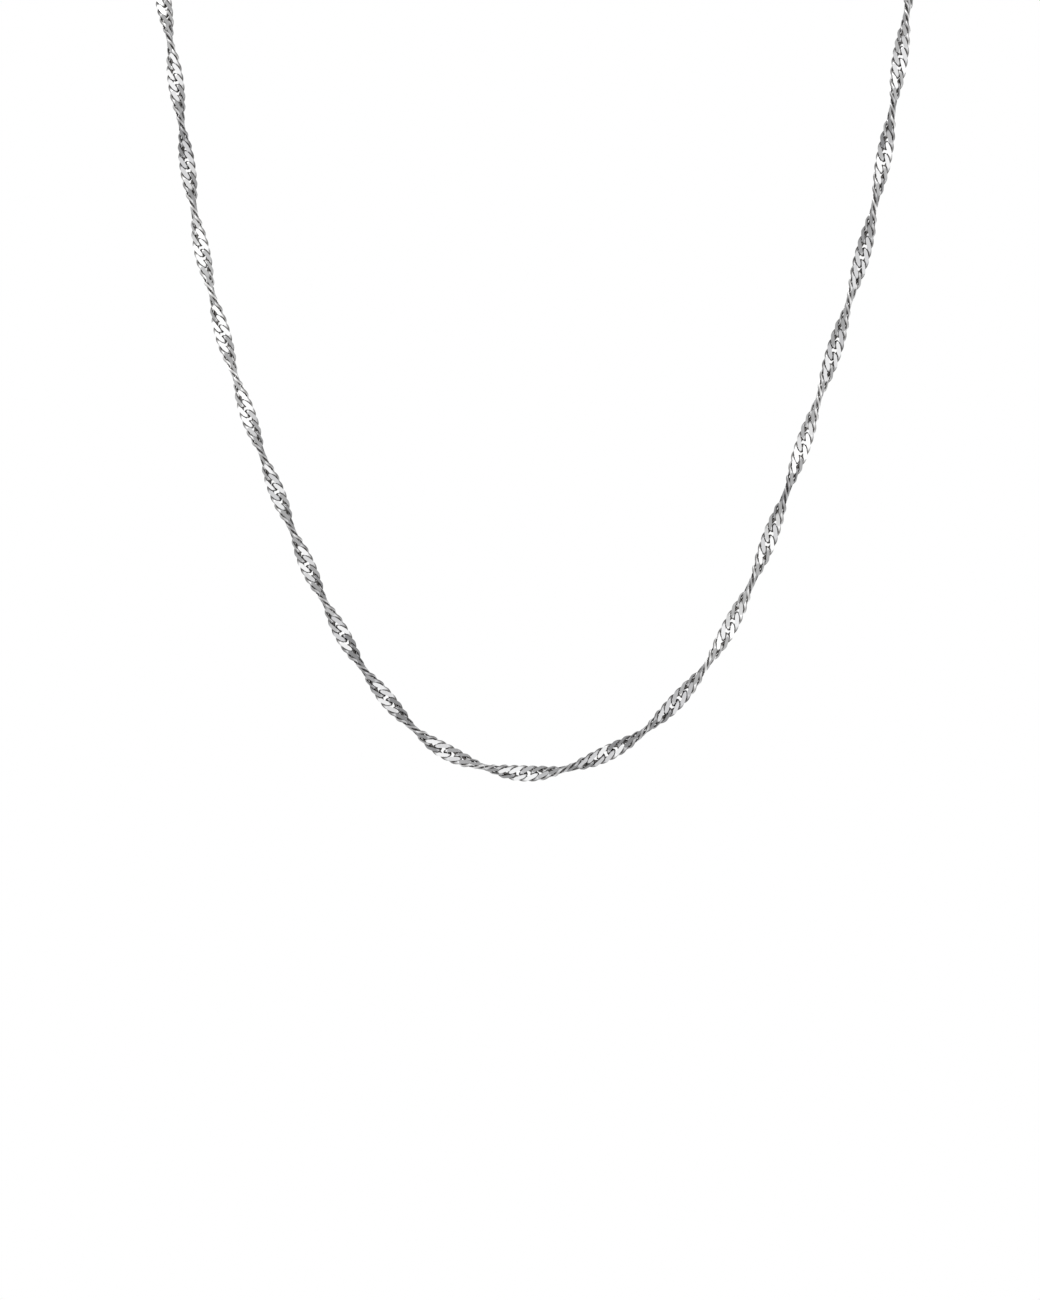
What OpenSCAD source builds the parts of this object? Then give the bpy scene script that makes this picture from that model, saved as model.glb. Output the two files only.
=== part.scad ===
// Fine necklace: a twisted chain of double curb links, closed at the nape
// by a spring ring, a jump ring and a catch ring. Millimetres. The origin is
// on the skin at the nape, +Z up, and the front of the necklace faces -Y.

/* [Chain] */
// Width of the twisted ribbon of links, and of the tube that stands for it
chain_w = 2; // [1.6:0.1:2.4]
// Sides of the tube
chain_sides = 8; // [8:1:12]
// Rings of the tube on each stretch between two points of the route
rings_per_stretch = 2; // [1:1:3]

/* [Chain ends] */
// Radius of each end link's opening, to the middle of its wire
end_ring_r = 0.7; // [0.6:0.05:0.9]
// Radius of the end link's wire
end_wire_r = 0.2; // [0.15:0.05:0.25]

/* [Jump ring] */
// Radius of the jump ring, to the middle of its wire
jump_ring_r = 1.2; // [1.1:0.05:1.6]
// Radius of the jump ring's wire
jump_wire_r = 0.25; // [0.2:0.05:0.3]

/* [Catch ring] */
// Radius of the catch ring, to the middle of its wire
catch_ring_r = 1.5; // [1.5:0.05:1.7]
// Radius of the catch ring's wire
catch_wire_r = 0.3; // [0.2:0.05:0.3]

/* [Clasp] */
// Radius of the spring ring, to the middle of its tube
clasp_ring_r = 2.3; // [2.3:0.1:3]
// Radius of the spring ring's tube
clasp_wire_r = 0.6; // [0.5:0.05:0.6]
// Radius of the small eye soldered to the spring ring
clasp_eye_r = 0.85; // [0.85:0.05:1]
// Radius of that eye's wire
clasp_eye_wire_r = 0.3; // [0.2:0.05:0.3]

/* [Fit] */
// Gap between two rings that pull on each other
ring_gap = 0.1; // [0.05:0.05:0.15]
// Distance from the skin to the middle of the chain at the nape
skin_gap = 1.8; // [1.8:0.1:2.5]

/* [Hidden] */

// Facets of the round wires, and of the rings that they make
wire_facets = 24;
ring_facets = 48;

// Places of the closure's rings along X, worked out from the clasp's middle
eye_dx = clasp_ring_r + clasp_wire_r + clasp_eye_r - clasp_eye_wire_r / 2;
jump_dx = eye_dx + clasp_eye_r - clasp_eye_wire_r - ring_gap - jump_wire_r + jump_ring_r;
right_end_dx = jump_dx + jump_ring_r - jump_wire_r - ring_gap - end_wire_r + end_ring_r;
catch_dx = -(clasp_ring_r - clasp_wire_r) + ring_gap + catch_wire_r - catch_ring_r;
left_end_dx = catch_dx - catch_ring_r + catch_wire_r + ring_gap + end_wire_r - end_ring_r;
clasp_x = -(right_end_dx + left_end_dx) / 2;
end_x = (right_end_dx - left_end_dx) / 2;

// The chain's route, from its left end round the front to its right end.
// The first and last points only give the direction at the two ends. The
// 17 points at y = -84 are the front stretch that the photograph shows.
ROUTE = [
    [4, 1.8, 0],
    [-6, 1.8, 0],
    [-16, 0, 0],
    [-25.5, -6, 0],
    [-34, -14.5, -0.5],
    [-40.5, -23.5, -1.5],
    [-44.5, -33.5, -3],
    [-46.5, -44, -5],
    [-47, -54.5, -7.5],
    [-46.6, -64.5, -11.5],
    [-45.6, -73.5, -17],
    [-43.4, -80, -25],
    [-41.5, -83.5, -35],
    [-40, -84, -45.6],
    [-38.3, -84, -56.6],
    [-35.7, -84, -67.5],
    [-32.4, -84, -78.1],
    [-28.4, -84, -88.6],
    [-23.9, -84, -98.8],
    [-18.2, -84, -108.3],
    [-10.3, -84, -116.1],
    [0.3, -84, -118.9],
    [10.8, -84, -115.5],
    [19, -84, -108],
    [24.7, -84, -98.4],
    [28.8, -84, -88.1],
    [32.5, -84, -77.5],
    [35.9, -84, -66.9],
    [38.9, -84, -56.2],
    [41.1, -84, -45.2],
    [42.7, -83.5, -35],
    [44.3, -80, -25],
    [45.6, -73.5, -17],
    [46.6, -64.5, -11.5],
    [47, -54.5, -7.5],
    [46.5, -44, -5],
    [44.5, -33.5, -3],
    [40.5, -23.5, -1.5],
    [34, -14.5, -0.5],
    [25.5, -6, 0],
    [16, 0, 0],
    [6, 1.8, 0],
    [-4, 1.8, 0],
];

// A point inside the loop, from which the tube's sections are squared up
loop_middle = [0, -45, -60];

// Smooth curve through the route: a point and the direction at it
function curve_point(p, t) =
    (2 * p[1] + (p[2] - p[0]) * t
        + (2 * p[0] - 5 * p[1] + 4 * p[2] - p[3]) * t * t
        + (3 * p[1] - p[0] - 3 * p[2] + p[3]) * t * t * t) / 2;
function curve_slope(p, t) =
    (p[2] - p[0] + 2 * (2 * p[0] - 5 * p[1] + 4 * p[2] - p[3]) * t
        + 3 * (3 * p[1] - p[0] - 3 * p[2] + p[3]) * t * t) / 2;
function unit(v) = v / norm(v);

// Four route points round stretch i
function around(i) = [for (k = [0:3]) ROUTE[i + k]];

stretches = len(ROUTE) - 3;
ring_count = stretches * rings_per_stretch + 1;

// Stretch number and place along it of ring k
function stretch_of(k) = min(floor(k / rings_per_stretch), stretches - 1);
function place_of(k) = k / rings_per_stretch - stretch_of(k);

// One ring of the tube: points round the curve, square to its direction
function tube_ring(k) =
    let (
        p = around(stretch_of(k)),
        t = place_of(k),
        c = curve_point(p, t),
        along = unit(curve_slope(p, t)),
        out = c - loop_middle,
        u = unit(out - (out * along) * along),
        v = cross(along, u)
    )
    [for (j = [0:chain_sides - 1])
        let (a = 360 * j / chain_sides)
        c + chain_w / 2 * (cos(a) * u + sin(a) * v)];

tube_points = [for (k = [0:ring_count - 1]) each tube_ring(k)];
tube_faces = [
    [for (j = [0:chain_sides - 1]) j],
    for (k = [0:ring_count - 2], j = [0:chain_sides - 1])
        let (
            a = k * chain_sides + j,
            b = k * chain_sides + (j + 1) % chain_sides
        )
        [a, a + chain_sides, b + chain_sides, b],
    [for (j = [chain_sides - 1:-1:0]) (ring_count - 1) * chain_sides + j],
];

// A wire ring about Z, centred on the origin
module wire_ring(ring_r, wire_r) {
    rotate_extrude($fn = ring_facets)
        translate([ring_r, 0])
            circle(r = wire_r, $fn = wire_facets);
}

// The same ring set upright across the skin, in the X-Z plane
module upright_ring(ring_r, wire_r) {
    rotate([90, 0, 0]) wire_ring(ring_r, wire_r);
}

// The whole length of chain, with the opening of its end link at each end
module twisted_chain() {
    color("silver") {
        polyhedron(points = tube_points, faces = tube_faces, convexity = 10);
        for (side = [-1, 1])
            translate([side * end_x, skin_gap, 0])
                upright_ring(end_ring_r, end_wire_r);
    }
}

// Small ring that joins the right end link to the clasp's eye
module jump_ring() {
    color("gainsboro")
        translate([clasp_x + jump_dx, skin_gap, 0])
            wire_ring(jump_ring_r, jump_wire_r);
}

// Ring at the left end link, which the clasp hooks
module catch_ring() {
    color("gainsboro")
        translate([clasp_x + catch_dx, skin_gap, 0])
            wire_ring(catch_ring_r, catch_wire_r);
}

// Spring ring with its soldered eye, closed
module spring_ring_clasp() {
    color("lightgray")
        translate([clasp_x, skin_gap, 0]) {
            upright_ring(clasp_ring_r, clasp_wire_r);
            translate([eye_dx, 0, 0])
                upright_ring(clasp_eye_r, clasp_eye_wire_r);
        }
}

twisted_chain();
jump_ring();
catch_ring();
spring_ring_clasp();
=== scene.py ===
"""Looks of a fine twisted chain necklace, held up at the nape, on a plain white sweep.

The chain's links are real interlocked meshes along the same route as the tube
in the part's source. The rings and the clasp are the part's own solids with a
better finish. Everything is in metres, +Z up, and the front faces -Y.
"""

import math

import bpy
import numpy as np
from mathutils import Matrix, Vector


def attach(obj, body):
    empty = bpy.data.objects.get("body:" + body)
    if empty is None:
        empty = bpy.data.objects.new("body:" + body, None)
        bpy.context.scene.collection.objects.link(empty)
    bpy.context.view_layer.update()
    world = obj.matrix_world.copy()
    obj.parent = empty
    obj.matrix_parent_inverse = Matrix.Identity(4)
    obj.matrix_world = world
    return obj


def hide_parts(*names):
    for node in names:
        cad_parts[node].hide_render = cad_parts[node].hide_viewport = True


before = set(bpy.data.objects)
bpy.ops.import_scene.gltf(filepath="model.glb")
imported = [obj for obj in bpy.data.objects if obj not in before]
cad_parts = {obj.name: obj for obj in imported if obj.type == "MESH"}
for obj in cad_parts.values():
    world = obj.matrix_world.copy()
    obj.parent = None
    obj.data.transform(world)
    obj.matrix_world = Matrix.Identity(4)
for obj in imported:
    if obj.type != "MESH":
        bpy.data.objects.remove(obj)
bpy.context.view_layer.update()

MM = 0.001

# The chain's route, as in the part's source: its first and last points only
# give the direction at the ends
ROUTE = np.array([
    (4, 1.8, 0),
    (-6, 1.8, 0),
    (-16, 0, 0),
    (-25.5, -6, 0),
    (-34, -14.5, -0.5),
    (-40.5, -23.5, -1.5),
    (-44.5, -33.5, -3),
    (-46.5, -44, -5),
    (-47, -54.5, -7.5),
    (-46.6, -64.5, -11.5),
    (-45.6, -73.5, -17),
    (-43.4, -80, -25),
    (-41.5, -83.5, -35),
    (-40, -84, -45.6),
    (-38.3, -84, -56.6),
    (-35.7, -84, -67.5),
    (-32.4, -84, -78.1),
    (-28.4, -84, -88.6),
    (-23.9, -84, -98.8),
    (-18.2, -84, -108.3),
    (-10.3, -84, -116.1),
    (0.3, -84, -118.9),
    (10.8, -84, -115.5),
    (19, -84, -108),
    (24.7, -84, -98.4),
    (28.8, -84, -88.1),
    (32.5, -84, -77.5),
    (35.9, -84, -66.9),
    (38.9, -84, -56.2),
    (41.1, -84, -45.2),
    (42.7, -83.5, -35),
    (44.3, -80, -25),
    (45.6, -73.5, -17),
    (46.6, -64.5, -11.5),
    (47, -54.5, -7.5),
    (46.5, -44, -5),
    (44.5, -33.5, -3),
    (40.5, -23.5, -1.5),
    (34, -14.5, -0.5),
    (25.5, -6, 0),
    (16, 0, 0),
    (6, 1.8, 0),
    (-4, 1.8, 0),
]) * MM
FRONT_START = 12          # stretch of the route where the front begins
FRONT_STRETCHES = 16
SAMPLES = 60              # fine points on each stretch

# The photograph's scale at the front of the chain, and its height in pixels
PIXEL = 0.115 * MM
PHOTO_HEIGHT = 1300

# Read off the photograph, in its pixels along the chain from the place where
# the picture cuts it at the left: the middle of one link, the first place
# where the ribbon is edge on, and two short tables of (place, length there)
LINK_AT = 107.5
EDGE_ON_AT = 73
LINK_SPACINGS = ((650, 11.13), (1150, 12.09))
HALF_TURNS = ((200, 86), (500, 77), (700, 81), (1200, 100))

# One link: a loop of round wire, given by its middle line. Its length follows
# the link spacing, its width and the crown of its legs are in millimetres.
LENGTH_TERMS = (1.03, 0.12, 0.11)
WIDTH_TERMS = (0.65 * MM, -0.045 * MM, -0.055 * MM)
CROWN_TERMS = (-0.4 * MM, -0.06 * MM)
WIRE_R = 0.185 * MM
SPREAD = 0.075 * MM       # how far the flattened legs spread to each side
SPREAD_MIDDLE = 0.6       # share of that spread halfway up the wire
CUT_HALF = 0.385 * MM     # half the ribbon's thickness, where the links are cut flat
ROUND_TOP = math.radians(72)  # how far up the wire its rounded sides run at most
STATIONS = 72             # sections round the loop
ARC_POINTS = 6            # points on each rounded side of a section
SHARP_ANGLE = math.radians(40)
EDGE_SHADE_LIFT = 0.7           # how much of the painted recess shade is lifted at the ribbon's open edges
LOOSE = math.radians(1.0)  # how far a link may lie turned out of the even twist

# The silver's tone wanders along the chain, from one stretch of this length to
# the next, and each link has a share of its own
TONE_STRETCH = 9.5 * MM
OWN_SHARE = 0.5

# Colour and roughness ramps of the links' silver, as (place on the ramp, value),
# and its noises, as (scale, detail)
TONE_COLOURS = [(0.25, (0.56, 0.56, 0.57)), (0.7, (1.0, 1.0, 1.0))]
# Painted shade: this ramp darkens the silver the deeper a place lies in the ribbon
RECESS_SHADE_COLOURS = [(0.04, 1.0), (0.44, (0.2, 0.19, 0.18))]
WEAR_FROM, WEAR_TO = 0.35, 0.7  # noise at the cleanest and the most worn places
WIRE_ROUGHNESS = [(WEAR_FROM, 0.22), (WEAR_TO, 0.34)]
CUT_ROUGHNESS = [(WEAR_FROM, 0.07), (WEAR_TO, 0.13)]
WIRE_NOISE, CUT_NOISE, LINK_BUMP_NOISE = (2500, 3), (4000, 2), (6000, 2)
LINK_BUMP = 0.15
BUMP_DEPTH = 0.01 * MM

# The rings and the clasp: (node, noise scale, least roughness)
RING_FINISHES = (("jump_ring", 900, 0.1),
                 ("catch_ring", 900, 0.1),
                 ("spring_ring_clasp", 600, 0.08))
RING_COLOURS = [(0.3, (0.66, 0.66, 0.67)), (0.7, (0.78, 0.78, 0.78))]
RING_WEAR = 0.1           # how much rougher the worn places are
RING_BUMP = 0.1
# Noises of their colour, roughness and bump: (times the noise scale, detail)
RING_COLOUR_NOISE, RING_WEAR_NOISE, RING_BUMP_NOISE = (1, 4), (3, 3), (5, 2)

# The graded card inside the chain's curve: its gap to the chain, its front and
# back edges, and its greys at shares of the depth between those
CARD_GAP = 15 * MM
CARD_DEPTHS = (-100 * MM, 60 * MM)
CARD_GREYS = [(0.0, 1.0), (0.43, 1.0), (0.5, 0.85), (0.58, 0.45)]
CARD_OVERRUN = 30 * MM    # how far it runs on past the front of the chain
CARD_SECTIONS = 120

# The white sweep, in metres: its reach from the middle, its floor and top, and
# the bend between them
SWEEP_REACH, SWEEP_FLOOR, SWEEP_TOP, SWEEP_BEND = 1.7, -0.2, 1.9, 0.4
SWEEP_SIDES, SWEEP_BEND_POINTS = 64, 13

# The sky: its greys from the front of the scene, 0, to the back, 1
SKY_GREYS = [(0.36, 1.0), (0.5, 0.42)]
SKY_STRENGTH = 1.15

# The lamp, in metres and watts
LAMP_PLACE, LAMP_TARGET = (0, -0.9, 0.9), (0, -0.08, -0.06)
LAMP_SIZE = (0.8, 0.5)
LAMP_POWER = 2.4

# The point that the camera faces, and its lens and sensor in millimetres
VIEW_X, VIEW_Z = -1.27 * MM, -104.7 * MM
LENS, SENSOR = 150.0, 36.0
NEAREST = 0.01            # nothing closer to the camera than this is drawn

CHAIN_PIECES = 4
SEED = 7

# The plain round eye at each end of the chain, upright along its route, at
# the places that the end openings have in the part's source
EYE_X, EYE_Y = 5.375 * MM, 1.8 * MM
EYE_R = 0.82 * MM
EYE_WIRE_R = 0.15 * MM
EYE_TURN_POINTS, EYE_WIRE_POINTS = 48, 16
EYE_TONE = 0.5            # the silver's tone there

# Where the end links' middles lie along the route, inside its ends, and how
# far those links are turned from flat so that the eyes pass through them
END_INSET_LEFT, END_INSET_RIGHT = 1.36 * MM, 1.425 * MM
END_TURN = math.radians(22)


def fine_route():
    """Fine points on the smooth curve through the route."""
    t = np.linspace(0, 1, SAMPLES, endpoint=False)[:, None]
    parts = []
    for i in range(len(ROUTE) - 3):
        a, b, c, d = ROUTE[i:i + 4]
        parts.append((2 * b + (c - a) * t
                      + (2 * a - 5 * b + 4 * c - d) * t ** 2
                      + (3 * b - a - 3 * c + d) * t ** 3) / 2)
    return np.vstack(parts + [ROUTE[-2:-1]])


POINTS = fine_route()
LENGTHS = np.concatenate([[0], np.cumsum(np.linalg.norm(np.diff(POINTS, axis=0), axis=1))])
FRONT_FROM = LENGTHS[FRONT_START * SAMPLES]
FRONT_TO = LENGTHS[(FRONT_START + FRONT_STRETCHES) * SAMPLES]


def at(s):
    """Points of the route at lengths s."""
    return np.stack([np.interp(s, LENGTHS, POINTS[:, k]) for k in range(3)], -1)


def unit(v):
    return v / np.linalg.norm(v, axis=-1, keepdims=True)


def steady_normals():
    """A normal at each fine point that turns as little as it can along the
    route, and faces the front (-Y) all along the front stretch."""
    along = unit(np.gradient(POINTS, axis=0))
    normals = np.zeros_like(POINTS)
    start = FRONT_START * SAMPLES
    normals[start] = (0, -1, 0)
    for step, stop in ((1, len(POINTS)), (-1, -1)):
        for i in range(start + step, stop, step):
            n = normals[i - step]
            normals[i] = unit(n - (n @ along[i]) * along[i])
    return normals


NORMALS = steady_normals()


def normal_at(s):
    return np.stack([np.interp(s, LENGTHS, NORMALS[:, k]) for k in range(3)], -1)


def from_table(table, s):
    """A table's length at lengths s of the route, in metres."""
    places, values = np.array(table).T
    return PIXEL * np.interp((s - FRONT_FROM) / PIXEL, places, values)


def steps_from(table, place):
    """How many of the table's steps each fine point of the route lies past
    the place, which is in the photograph's pixels."""
    middles = (LENGTHS[1:] + LENGTHS[:-1]) / 2
    count = np.concatenate([[0], np.cumsum(np.diff(LENGTHS) / from_table(table, middles))])
    return count - np.interp(FRONT_FROM + place * PIXEL, LENGTHS, count)


def settle(values, missing, end, limit):
    """Takes what is missing at one end off the values, evenly over the hidden
    stretch between there and the limit, and leaves the rest as it is."""
    return values - missing * np.clip((LENGTHS - limit) / (end - limit), 0, 1)


def link_lengths():
    """Lengths along the route of the middles of all links."""
    count = steps_from(LINK_SPACINGS, LINK_AT)
    first, last = END_INSET_LEFT, LENGTHS[-1] - END_INSET_RIGHT
    for end, limit in ((first, FRONT_FROM), (last, FRONT_TO)):
        number = np.interp(end, LENGTHS, count)
        count = settle(count, number - round(number), end, limit)
    numbers = np.arange(round(np.interp(first, LENGTHS, count)),
                        round(np.interp(last, LENGTHS, count)) + 1)
    return np.interp(numbers, count, LENGTHS)


def ribbon_angles(s):
    """Turn of each link about the route's direction, from facing the front.
    The hidden ends take up what is missing until the end links let the eyes
    through."""
    # Edge on at whole steps, and flat to the front half a step later
    turned = math.pi * (steps_from(HALF_TURNS, EDGE_ON_AT) - 0.5)
    for end, limit, lean in ((s[0], FRONT_FROM, END_TURN), (s[-1], FRONT_TO, -END_TURN)):
        # Angle at which the end link's face looks straight back, +Y
        n, along = normal_at(end), unit(at(end + MM) - at(end - MM))
        side = np.cross(n, along)
        flat = math.atan2(-side[1], n[1])
        missing = (flat + lean + np.interp(end, LENGTHS, turned)) % math.pi
        if missing > math.pi / 2:
            missing -= math.pi
        turned = settle(turned, missing, end, limit)
    return -np.interp(s, LENGTHS, turned)


def link_shape():
    """One link in its own frame, at a link spacing of 1 in x: its points, its
    faces, 1 for each face that is cut flat, and the mask for painted shade: how deep in the ribbon
    each point lies, from 0 at the flat cuts to 1 where the least light comes in."""
    t = np.linspace(0, 2 * math.pi, STATIONS, endpoint=False)
    a1, a3, a5 = LENGTH_TERMS
    b1, b3, b7 = WIDTH_TERMS
    c2, c6 = CROWN_TERMS
    spacing = from_table(LINK_SPACINGS, LENGTHS).mean()
    middle = np.stack([
        spacing * (a1 * np.cos(t) + a3 * np.cos(3 * t) + a5 * np.cos(5 * t)),
        b1 * np.sin(t) + b3 * np.sin(3 * t) + b7 * np.sin(7 * t),
        c2 * np.sin(2 * t) + c6 * np.sin(6 * t)], -1)
    along = unit(np.roll(middle, -1, 0) - np.roll(middle, 1, 0))
    flat = unit(np.cross(along, (0, 0, 1)))
    rise = np.cross(flat, along)

    # Angle on the wire where each flat cut starts, above and below, and
    # whether the cuts reach the wire there at all
    reach = WIRE_R * rise[:, 2]
    limit = math.sin(ROUND_TOP)
    above, below = (CUT_HALF - middle[:, 2]) / reach, (CUT_HALF + middle[:, 2]) / reach
    top, low = np.arcsin(np.clip(above, -1, limit)), np.arcsin(np.clip(below, -1, limit))
    top_cut, low_cut = above < limit, below < limit
    f = np.linspace(0, 1, ARC_POINTS)
    angles = np.concatenate([
        -low[:, None] + (top + low)[:, None] * f,
        math.pi - top[:, None] + (top + low)[:, None] * f], 1)

    # The press spreads each leg sideways where it comes to the ribbon's face,
    # most on the side that looks out and not at all on the side that looks in
    crown = middle[:, 2] / np.abs(middle[:, 2]).max()
    outward = np.sin(angles) * np.sign(crown)[:, None]
    share = np.clip(SPREAD_MIDDLE * (1 + outward), 0, 1)
    wide = WIRE_R + SPREAD * (crown ** 2)[:, None] * share
    points = (middle[:, None] + (wide * np.cos(angles))[..., None] * flat[:, None]
              + (WIRE_R * np.sin(angles))[..., None] * rise[:, None])

    ring = 2 * ARC_POINTS
    faces, cut = [], []
    for i in range(STATIONS):
        j = (i + 1) % STATIONS
        for k in range(ring):
            m = (k + 1) % ring
            faces.append((i * ring + k, j * ring + k, j * ring + m, i * ring + m))
            on_top = k == ARC_POINTS - 1 and top_cut[i] and top_cut[j]
            on_low = k == ring - 1 and low_cut[i] and low_cut[j]
            cut.append(float(on_top or on_low))
    points = points.reshape(-1, 3)
    # Mask for painted shade in the recesses: deepest inside the ribbon, lifted at its flat cuts and
    # open edges
    across = np.abs(points[:, 1]) / np.abs(points[:, 1]).max()
    depth = (1 - np.abs(points[:, 2]) / CUT_HALF) * (1 - EDGE_SHADE_LIFT * across ** 2)
    return points / (spacing, 1, 1), np.array(faces), np.array(cut), depth


def eye_shape():
    """A plain ring of round wire in the X-Z plane about 0: points and faces."""
    turn, wire = EYE_TURN_POINTS, EYE_WIRE_POINTS
    a, b = np.meshgrid(np.arange(turn) * 2 * math.pi / turn,
                       np.arange(wire) * 2 * math.pi / wire, indexing="ij")
    reach = EYE_R + EYE_WIRE_R * np.cos(b)
    points = np.stack([reach * np.cos(a), EYE_WIRE_R * np.sin(b), reach * np.sin(a)], -1)
    i, k = np.meshgrid(np.arange(turn), np.arange(wire), indexing="ij")
    j, m = (i + 1) % turn, (k + 1) % wire
    faces = np.stack([i * wire + k, i * wire + m, j * wire + m, j * wire + k], -1)
    return points.reshape(-1, 3), faces.reshape(-1, 4)


def link_tones(s, rng):
    """A tone from 0 to 1 for each link."""
    places = np.arange(0, LENGTHS[-1] + TONE_STRETCH, TONE_STRETCH)
    wandering = np.interp(s, places, rng.uniform(0, 1, len(places)))
    return (1 - OWN_SHARE) * wandering + OWN_SHARE * rng.uniform(0, 1, len(s))


def add_object(name, data):
    """An object with this mesh, light or camera, put into the scene."""
    added = bpy.data.objects.new(name, data)
    bpy.context.scene.collection.objects.link(added)
    return added


def placed_link(shape, s, angle, spacing):
    """The points of a link at length s of the route, turned about it by this
    angle. It is stretched to the link spacing there, but never bent."""
    x = unit(at(s + spacing / 2) - at(s - spacing / 2))
    n = normal_at(s)
    n = unit(n - (n @ x) * x)
    y = np.cross(n, x)
    turned_y = y * math.cos(angle) + n * math.sin(angle)
    turned_z = n * math.cos(angle) - y * math.sin(angle)
    local = shape * (spacing, 1, 1)
    return at(s) + local @ np.stack([x, turned_y, turned_z])


def chain_piece(name, lengths, angles, spacings, tones, eyes):
    """One joined mesh of the links at these lengths, and of the end eyes at
    these places."""
    shape, faces, cut, depth = link_shape()
    points, quads = [], []
    for k, (s, angle, spacing) in enumerate(zip(lengths, angles, spacings)):
        points.append(placed_link(shape, s, angle, spacing))
        quads.append(faces + k * len(shape))
    ring, ring_faces = eye_shape()
    for k, place in enumerate(eyes):
        points.append(ring + place)
        quads.append(ring_faces + len(lengths) * len(shape) + k * len(ring))
    mesh = bpy.data.meshes.new(name)
    mesh.from_pydata(np.vstack(points), [], np.vstack(quads))
    mesh.update()
    mesh.shade_smooth()
    mesh.set_sharp_from_angle(angle=SHARP_ANGLE)
    tone = np.repeat(tones, len(faces))
    cut, depth = np.tile(cut, len(lengths)), np.tile(depth, len(lengths))
    eye_faces = np.zeros(len(eyes) * len(ring_faces))
    eye_points = np.zeros(len(eyes) * len(ring))
    # The depth values go on as the mask of the painted recess shade
    for attribute, domain, values in (("cut_face", "FACE", np.append(cut, eye_faces)),
                                      ("link_tone", "FACE", np.append(tone, eye_faces + EYE_TONE)),
                                      ("link_recess_shade", "POINT", np.append(depth, eye_points))):
        data = mesh.attributes.new(attribute, "FLOAT", domain).data
        data.foreach_set("value", values.astype(np.float32))
    return add_object(name, mesh)


def socket(shader, name, value):
    shader.inputs[name].default_value = value


def new_material(name):
    material = bpy.data.materials.new(name)
    material.use_nodes = True
    tree = material.node_tree
    return material, tree, tree.nodes["Principled BSDF"]


def ramp_node(tree, source, stops):
    """A colour ramp fed by source, with (place, grey or colour) stops."""
    node = tree.nodes.new("ShaderNodeValToRGB")
    tree.links.new(source, node.inputs["Fac"])
    elements = node.color_ramp.elements
    while len(elements) < len(stops):
        # The loop below moves each new stop to its own place
        elements.new(0.5)
    for element, (place, colour) in zip(elements, stops):
        element.position = place
        element.color = (*colour, 1) if isinstance(colour, tuple) else (colour,) * 3 + (1,)
    return node.outputs["Color"]


def noise_node(tree, scale, detail):
    place = tree.nodes.new("ShaderNodeTexCoord").outputs["Object"]
    node = tree.nodes.new("ShaderNodeTexNoise")
    tree.links.new(place, node.inputs["Vector"])
    socket(node, "Scale", scale)
    socket(node, "Detail", detail)
    return node.outputs["Fac"]


def bump_from(tree, height, strength, shader):
    node = tree.nodes.new("ShaderNodeBump")
    socket(node, "Strength", strength)
    socket(node, "Distance", BUMP_DEPTH)
    tree.links.new(height, node.inputs["Height"])
    tree.links.new(node.outputs["Normal"], shader.inputs["Normal"])


def attribute_node(tree, name):
    """The mesh's own value of this name."""
    node = tree.nodes.new("ShaderNodeAttribute")
    node.attribute_name = name
    return node.outputs["Fac"]


def mix_node(tree, blend, a, b):
    node = tree.nodes.new("ShaderNodeMix")
    node.data_type = "RGBA"
    node.blend_type = blend
    tree.links.new(a, node.inputs["A"])
    tree.links.new(b, node.inputs["B"])
    return node


def link_silver():
    """Bright plated silver: mirror-flat cut faces, softer drawn wire between,
    and painted shade that darkens it the deeper a place lies in the ribbon."""
    material, tree, shader = new_material("link_silver")
    socket(shader, "Metallic", 1.0)
    tone = ramp_node(tree, attribute_node(tree, "link_tone"), TONE_COLOURS)
    # Painted shade: the tone is multiplied by a darker grey deep in the ribbon
    painted_shade = ramp_node(tree, attribute_node(tree, "link_recess_shade"), RECESS_SHADE_COLOURS)
    colour = mix_node(tree, "MULTIPLY", tone, painted_shade)
    socket(colour, "Factor", 1.0)
    tree.links.new(colour.outputs["Result"], shader.inputs["Base Color"])
    wear = ramp_node(tree, noise_node(tree, *WIRE_NOISE), WIRE_ROUGHNESS)
    polish = ramp_node(tree, noise_node(tree, *CUT_NOISE), CUT_ROUGHNESS)
    finish = mix_node(tree, "MIX", wear, polish)
    tree.links.new(attribute_node(tree, "cut_face"), finish.inputs["Factor"])
    tree.links.new(finish.outputs["Result"], shader.inputs["Roughness"])
    bump_from(tree, noise_node(tree, *LINK_BUMP_NOISE), LINK_BUMP, shader)
    return material


def ring_silver(name, scale, rough):
    """Polished silver wire with faint wear that changes over its surface."""
    material, tree, shader = new_material(name)

    def noise(times, detail):
        return noise_node(tree, times * scale, detail)

    socket(shader, "Metallic", 1.0)
    colour = ramp_node(tree, noise(*RING_COLOUR_NOISE), RING_COLOURS)
    tree.links.new(colour, shader.inputs["Base Color"])
    roughness = [(WEAR_FROM, rough), (WEAR_TO, rough + RING_WEAR)]
    wear = ramp_node(tree, noise(*RING_WEAR_NOISE), roughness)
    tree.links.new(wear, shader.inputs["Roughness"])
    bump_from(tree, noise(*RING_BUMP_NOISE), RING_BUMP, shader)
    return material


def glow_material(name):
    """A black material that gives off light, but isn't sampled as a lamp."""
    material, tree, shader = new_material(name)
    socket(shader, "Base Color", (0, 0, 0, 1))
    socket(shader, "Emission Strength", 1.0)
    material.cycles.emission_sampling = "NONE"
    return material, tree, shader


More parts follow.
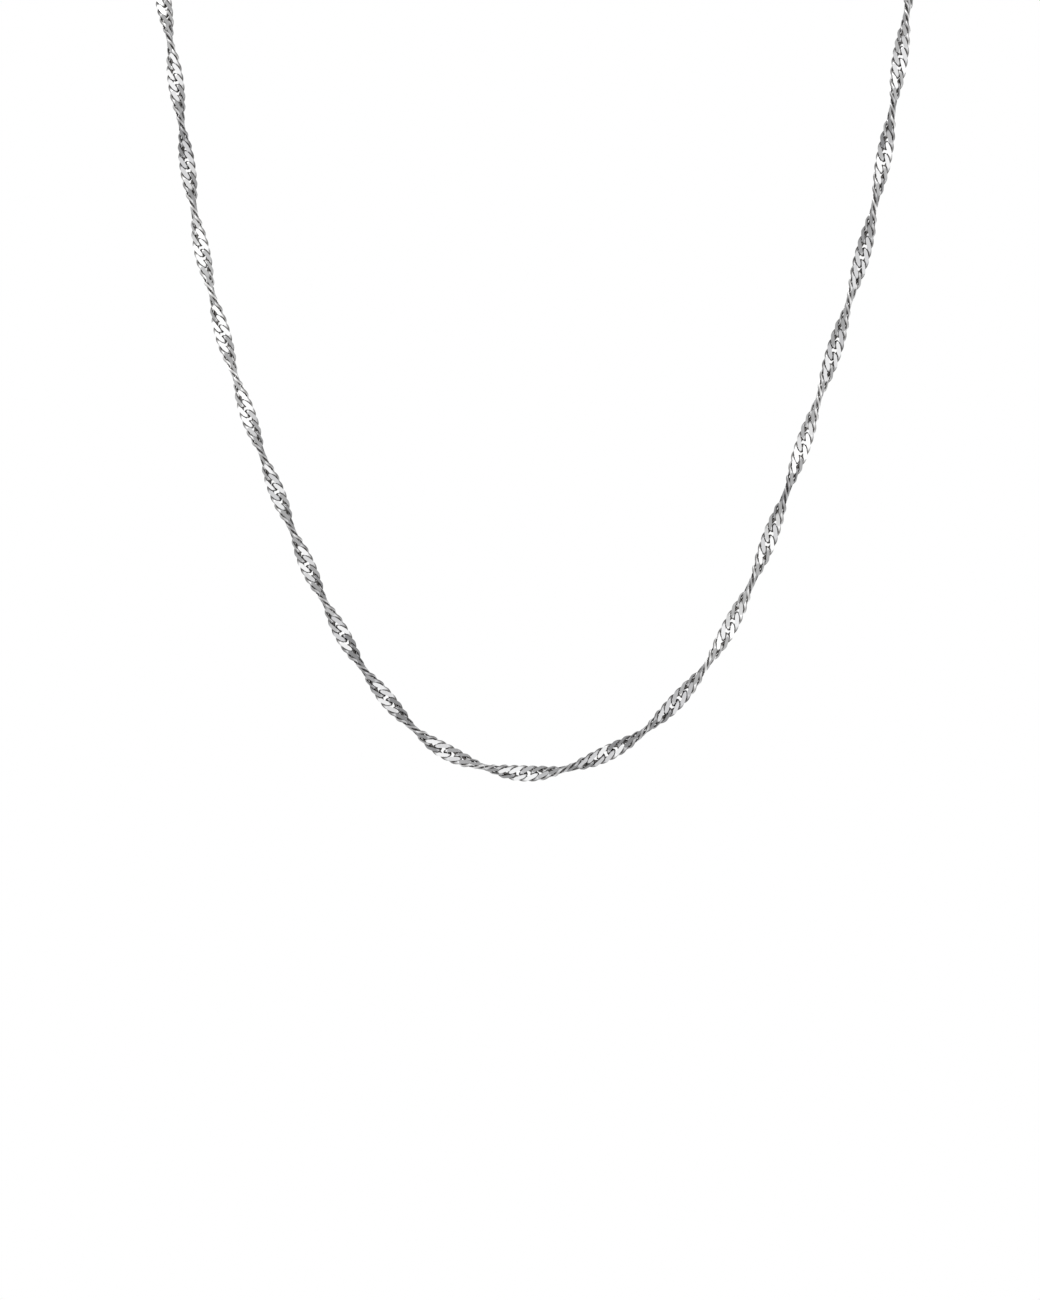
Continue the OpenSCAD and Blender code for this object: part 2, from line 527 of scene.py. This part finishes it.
def front_lamp():
    """One soft lamp from the front and above."""
    light = bpy.data.lights.new("front_lamp", "AREA")
    light.shape = "RECTANGLE"
    light.size, light.size_y = LAMP_SIZE
    light.energy = LAMP_POWER
    lamp = add_object("front_lamp", light)
    lamp.location = LAMP_PLACE
    aim = Vector(LAMP_TARGET) - Vector(LAMP_PLACE)
    lamp.rotation_euler = aim.to_track_quat("-Z", "Y").to_euler()


def white_sweep():
    """A round floor that curves up into a wall on every side, so bright that
    it shows no shadow."""
    inner, bend_z, turn = SWEEP_REACH - SWEEP_BEND, SWEEP_FLOOR + SWEEP_BEND, SWEEP_SIDES
    profile = [(inner + SWEEP_BEND * math.sin(a), bend_z - SWEEP_BEND * math.cos(a))
               for a in np.linspace(0, math.pi / 2, SWEEP_BEND_POINTS)]
    profile.append((SWEEP_REACH, SWEEP_TOP))
    points = [(r * math.cos(a), r * math.sin(a), z)
              for r, z in profile for a in np.arange(turn) * 2 * math.pi / turn]
    faces = [tuple(range(turn))]
    for i in range(len(profile) - 1):
        for k in range(turn):
            m = (k + 1) % turn
            faces.append((i * turn + k, i * turn + m, (i + 1) * turn + m, (i + 1) * turn + k))
    mesh = bpy.data.meshes.new("sweep")
    mesh.from_pydata(points, [], faces)
    mesh.shade_smooth()
    sweep = add_object("sweep", mesh)
    material, _, shader = glow_material("white_paper")
    socket(shader, "Specular IOR Level", 0.0)
    socket(shader, "Emission Color", (1, 1, 1, 1))
    mesh.materials.append(material)
    sweep.visible_glossy = False


def reflection_card():
    """A graded card that stands inside the curve of the chain, seen only in the
    silver: it gives every face that leans inward its darker tone."""
    s = np.linspace(FRONT_FROM - CARD_OVERRUN, FRONT_TO + CARD_OVERRUN, CARD_SECTIONS)
    along = unit(at(s + MM) - at(s - MM)) * (1, 0, 1)
    inward = unit(np.stack([-along[:, 2], 0 * s, along[:, 0]], -1))
    line = at(s) * (1, 0, 1) + inward * CARD_GAP
    front = ROUTE[FRONT_START + 1, 1]
    edges = [line + (0, front + y, 0) for y in CARD_DEPTHS]
    n = len(s)
    mesh = bpy.data.meshes.new("reflection_card")
    mesh.from_pydata(np.vstack(edges), [], [(i, i + 1, n + i + 1, n + i) for i in range(n - 1)])
    card = add_object("reflection_card", mesh)
    material, tree, shader = glow_material("graded_card")
    depth = tree.nodes.new("ShaderNodeSeparateXYZ")
    tree.links.new(tree.nodes.new("ShaderNodeTexCoord").outputs["Generated"], depth.inputs["Vector"])
    tree.links.new(ramp_node(tree, depth.outputs["Y"], CARD_GREYS), shader.inputs["Emission Color"])
    socket(shader, "Roughness", 1.0)
    mesh.materials.append(material)
    card.visible_camera = False
    card.visible_diffuse = False
    card.visible_shadow = False


def studio_sky():
    """Soft light from all round, darker behind the chain than in front."""
    world = bpy.data.worlds.new("studio")
    world.use_nodes = True
    bpy.context.scene.world = world
    tree = world.node_tree
    background = tree.nodes["Background"]
    direction = tree.nodes.new("ShaderNodeTexCoord").outputs["Generated"]
    split = tree.nodes.new("ShaderNodeSeparateXYZ")
    tree.links.new(direction, split.inputs["Vector"])
    level = tree.nodes.new("ShaderNodeMapRange")
    socket(level, "From Min", -1.0)
    tree.links.new(split.outputs["Y"], level.inputs["Value"])
    tree.links.new(ramp_node(tree, level.outputs["Result"], SKY_GREYS), background.inputs["Color"])
    socket(background, "Strength", SKY_STRENGTH)


def photo_camera():
    """A camera that looks straight along +Y at the photograph's frame."""
    data = bpy.data.cameras.new("camera")
    data.lens = LENS
    data.sensor_width = SENSOR
    data.clip_start = NEAREST
    camera = add_object("camera", data)
    distance = PHOTO_HEIGHT * PIXEL * LENS / SENSOR
    camera.location = (VIEW_X, ROUTE[FRONT_START + 1, 1] - distance, VIEW_Z)
    camera.rotation_euler = (math.pi / 2, 0, 0)
    bpy.context.scene.camera = camera


# The chain: four joined meshes of equal length
links = link_lengths()
rng = np.random.default_rng(SEED)
turns = ribbon_angles(links) + rng.uniform(-LOOSE, LOOSE, len(links))
steps = from_table(LINK_SPACINGS, links)
tones = link_tones(links, rng)
silver = link_silver()
end_eyes = {0: [(-EYE_X, EYE_Y, 0)], CHAIN_PIECES - 1: [(EYE_X, EYE_Y, 0)]}
for k, part in enumerate(np.array_split(np.arange(len(links)), CHAIN_PIECES)):
    piece = chain_piece(f"chain_{k + 1}", links[part], turns[part], steps[part], tones[part],
                        end_eyes.get(k, []))
    piece.data.materials.append(silver)
    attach(piece, "root")
    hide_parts("twisted_chain")

# The rings and the clasp keep their solids and get a finer finish
for node, scale, rough in RING_FINISHES:
    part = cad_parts[node]
    part.data.materials.clear()
    part.data.materials.append(ring_silver(node + "_silver", scale, rough))

# Stage, light and camera
white_sweep()
reflection_card()
studio_sky()
front_lamp()
photo_camera()
bpy.context.scene.view_settings.view_transform = "Standard"
